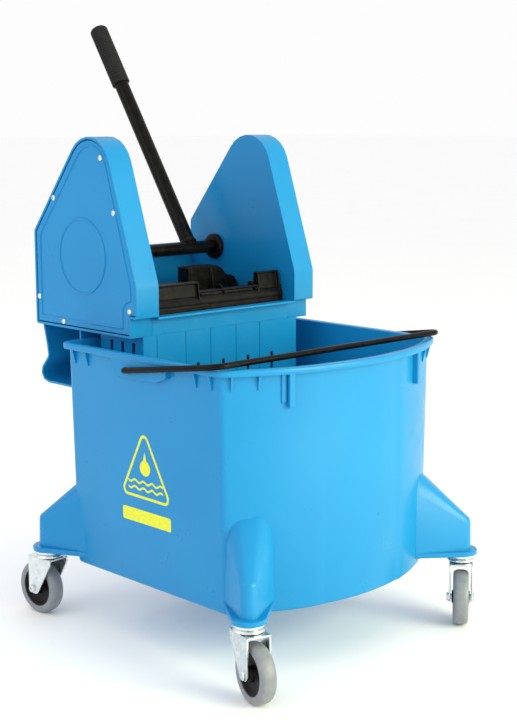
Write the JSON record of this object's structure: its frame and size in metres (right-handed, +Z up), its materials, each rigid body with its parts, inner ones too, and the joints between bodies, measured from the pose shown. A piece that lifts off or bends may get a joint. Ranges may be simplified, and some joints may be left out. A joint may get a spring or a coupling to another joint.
{
  "type": "mop bucket with wringer",
  "caption": "Wheeled plastic mop bucket with a lift-off down-press wringer, lever handle, steel bail and swivel casters.",
  "frame": {"origin": "floor point under the middle of the whole object, lever included", "axes": "+X across the bucket to the right seen from the rounded front, +Y from the rounded front to the wringer, +Z up"},
  "size_m": [0.4578, 0.7106, 0.8423],
  "materials": {
    "blue_polypropylene": "moulded, satin gloss",
    "black_powder_coated_steel": "black powder coat, satin",
    "black_nylon": "moulded, satin",
    "black_grip_rubber": "moulded, ribbed, matt",
    "zinc_plated_steel": "bright zinc plate",
    "gear_steel": "machined",
    "black_wheel_plastic": "moulded",
    "grey_tyre_rubber": "moulded, satin"
  },
  "bodies": {
    "bucket": {"bucket_body": "blue_polypropylene", "caster_front_left_stem": "zinc_plated_steel", "caster_front_right_stem": "zinc_plated_steel", "caster_rear_left_stem": "zinc_plated_steel", "caster_rear_right_stem": "zinc_plated_steel"},
    "bail": {"bail_handle": "black_powder_coated_steel"},
    "wringer": {"wringer_housing": "blue_polypropylene", "tower_cover_left": "blue_polypropylene", "tower_cover_right": "blue_polypropylene", "cover_screw_left_1": "zinc_plated_steel", "cover_screw_left_2": "zinc_plated_steel", "cover_screw_left_3": "zinc_plated_steel", "cover_screw_left_4": "zinc_plated_steel", "cover_screw_left_5": "zinc_plated_steel", "cover_screw_left_6": "zinc_plated_steel", "cover_screw_right_1": "zinc_plated_steel", "cover_screw_right_2": "zinc_plated_steel", "cover_screw_right_3": "zinc_plated_steel", "cover_screw_right_4": "zinc_plated_steel", "cover_screw_right_5": "zinc_plated_steel", "cover_screw_right_6": "zinc_plated_steel", "shaft_bush_left": "black_nylon", "shaft_bush_right": "black_nylon"},
    "lever": {"lever_tube": "black_powder_coated_steel", "lever_grip": "black_grip_rubber", "cross_shaft": "black_powder_coated_steel", "drive_pinion_left": "gear_steel", "drive_pinion_right": "gear_steel"},
    "front_plate": {"front_press_plate": "black_nylon", "front_plate_axle": "gear_steel", "front_sector_gear_left": "gear_steel", "front_sector_gear_right": "gear_steel"},
    "rear_plate": {"rear_press_plate": "black_nylon", "rear_plate_axle": "gear_steel", "rear_sector_gear_left": "gear_steel", "rear_sector_gear_right": "gear_steel"},
    "front_left_swivel": {"caster_front_left_race": "zinc_plated_steel", "caster_front_left_fork": "zinc_plated_steel", "caster_front_left_axle": "zinc_plated_steel"},
    "front_left_wheel": {"caster_front_left_hub": "black_wheel_plastic", "caster_front_left_tyre": "grey_tyre_rubber"},
    "front_right_swivel": {"caster_front_right_race": "zinc_plated_steel", "caster_front_right_fork": "zinc_plated_steel", "caster_front_right_axle": "zinc_plated_steel"},
    "front_right_wheel": {"caster_front_right_hub": "black_wheel_plastic", "caster_front_right_tyre": "grey_tyre_rubber"},
    "rear_left_swivel": {"caster_rear_left_race": "zinc_plated_steel", "caster_rear_left_fork": "zinc_plated_steel", "caster_rear_left_axle": "zinc_plated_steel"},
    "rear_left_wheel": {"caster_rear_left_hub": "black_wheel_plastic", "caster_rear_left_tyre": "grey_tyre_rubber"},
    "rear_right_swivel": {"caster_rear_right_race": "zinc_plated_steel", "caster_rear_right_fork": "zinc_plated_steel", "caster_rear_right_axle": "zinc_plated_steel"},
    "rear_right_wheel": {"caster_rear_right_hub": "black_wheel_plastic", "caster_rear_right_tyre": "grey_tyre_rubber"}
  },
  "joints": [
    {"name": "wringer_lift", "type": "slide", "parent": "bucket", "child": "wringer", "axis": [0, 0, 1], "range_m": [0, 0.18]},
    {"name": "lever_press", "type": "hinge", "parent": "wringer", "child": "lever", "pos_m": [-0.00009, 0.127, 0.504], "axis": [1, 0, 0], "range_deg": [0, 76]},
    {"name": "front_plate_turn", "type": "hinge", "parent": "wringer", "child": "front_plate", "pos_m": [-0.00009, -0.011, 0.444], "axis": [1, 0, 0], "range_deg": [0, 26.5]},
    {"name": "rear_plate_turn", "type": "hinge", "parent": "wringer", "child": "rear_plate", "pos_m": [-0.00009, 0.08496, 0.44678], "axis": [1, 0, 0], "range_deg": [-17.5, 0]},
    {"name": "bail_swing", "type": "hinge", "parent": "bucket", "child": "bail", "pos_m": [-0.00009, -0.069, 0.376], "axis": [-1, 0, 0], "range_deg": [0, 84]},
    {"name": "front_left_swivel", "type": "hinge", "parent": "bucket", "child": "front_left_swivel", "pos_m": [-0.20308, -0.2998, 0.09], "axis": [0, 0, 1], "continuous": true},
    {"name": "front_left_roll", "type": "hinge", "parent": "front_left_swivel", "child": "front_left_wheel", "pos_m": [-0.20783, -0.31717, 0.038], "axis": [-0.9646, 0.2639, 0], "continuous": true},
    {"name": "front_right_swivel", "type": "hinge", "parent": "bucket", "child": "front_right_swivel", "pos_m": [0.20292, -0.2998, 0.09], "axis": [0, 0, 1], "continuous": true},
    {"name": "front_right_roll", "type": "hinge", "parent": "front_right_swivel", "child": "front_right_wheel", "pos_m": [0.18907, -0.3113, 0.038], "axis": [-0.6388, 0.7694, 0], "continuous": true},
    {"name": "rear_left_swivel", "type": "hinge", "parent": "bucket", "child": "rear_left_swivel", "pos_m": [-0.20308, 0.1153, 0.09], "axis": [0, 0, 1], "continuous": true},
    {"name": "rear_left_roll", "type": "hinge", "parent": "rear_left_swivel", "child": "rear_left_wheel", "pos_m": [-0.20456, 0.13323, 0.038], "axis": [0.9966, 0.0819, 0], "continuous": true},
    {"name": "rear_right_swivel", "type": "hinge", "parent": "bucket", "child": "rear_right_swivel", "pos_m": [0.20292, 0.1153, 0.09], "axis": [0, 0, 1], "continuous": true},
    {"name": "rear_right_roll", "type": "hinge", "parent": "rear_right_swivel", "child": "rear_right_wheel", "pos_m": [0.20666, 0.1329, 0.038], "axis": [0.9781, -0.2079, 0], "continuous": true}
  ],
  "couplings": [
    {"joint": "front_plate_turn", "follows": "lever_press", "ratio": 0.34211},
    {"joint": "rear_plate_turn", "follows": "lever_press", "ratio": -0.22414}
  ]
}
